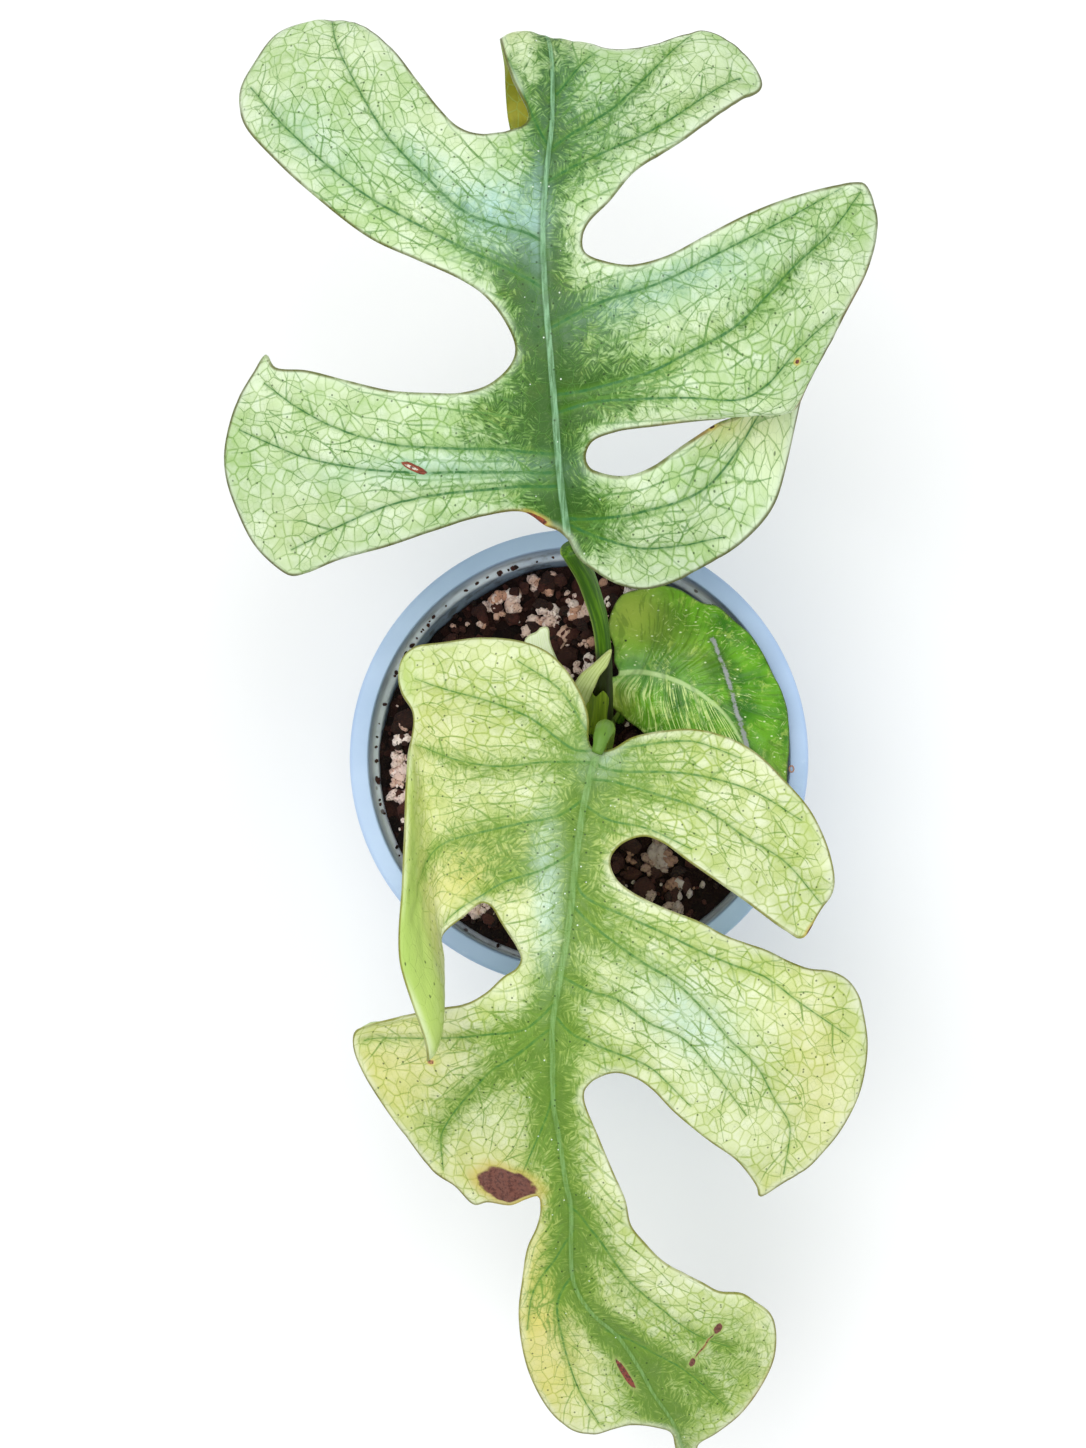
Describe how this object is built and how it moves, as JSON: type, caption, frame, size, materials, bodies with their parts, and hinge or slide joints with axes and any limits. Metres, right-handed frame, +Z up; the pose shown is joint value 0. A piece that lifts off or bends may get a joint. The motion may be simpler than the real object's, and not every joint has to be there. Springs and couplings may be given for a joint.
{
  "type": "potted variegated mini monstera",
  "caption": "Young climbing house plant with deeply lobed pale variegated leaves, standing in a tapered round nursery pot of chunky bark and pumice.",
  "frame": {"origin": "centre of the pot's flat underside", "axes": "+Z up, +Y towards the leaf that grows away from the viewer, +X to the viewer's right"},
  "size_m": [0.1568, 0.3701, 0.1903],
  "materials": {
    "pot": "satin pale blue-grey plastic",
    "soil": "rough damp bark with pale pumice",
    "stem": "smooth green skin",
    "petiole": "smooth green skin",
    "variegated_leaf": "semi-gloss pale green with darker veins",
    "juvenile_leaf": "glossy green with cream streaks",
    "sheath": "satin cream-green"
  },
  "bodies": {
    "root": {"pot": "pot", "soil": "soil", "stem": "stem", "petiole_1": "petiole", "petiole_2": "petiole", "petiole_3": "petiole", "leaf_1": "variegated_leaf", "leaf_2": "variegated_leaf", "leaf_3": "juvenile_leaf", "spear": "sheath", "old_sheath": "sheath"}
  },
  "joints": []
}
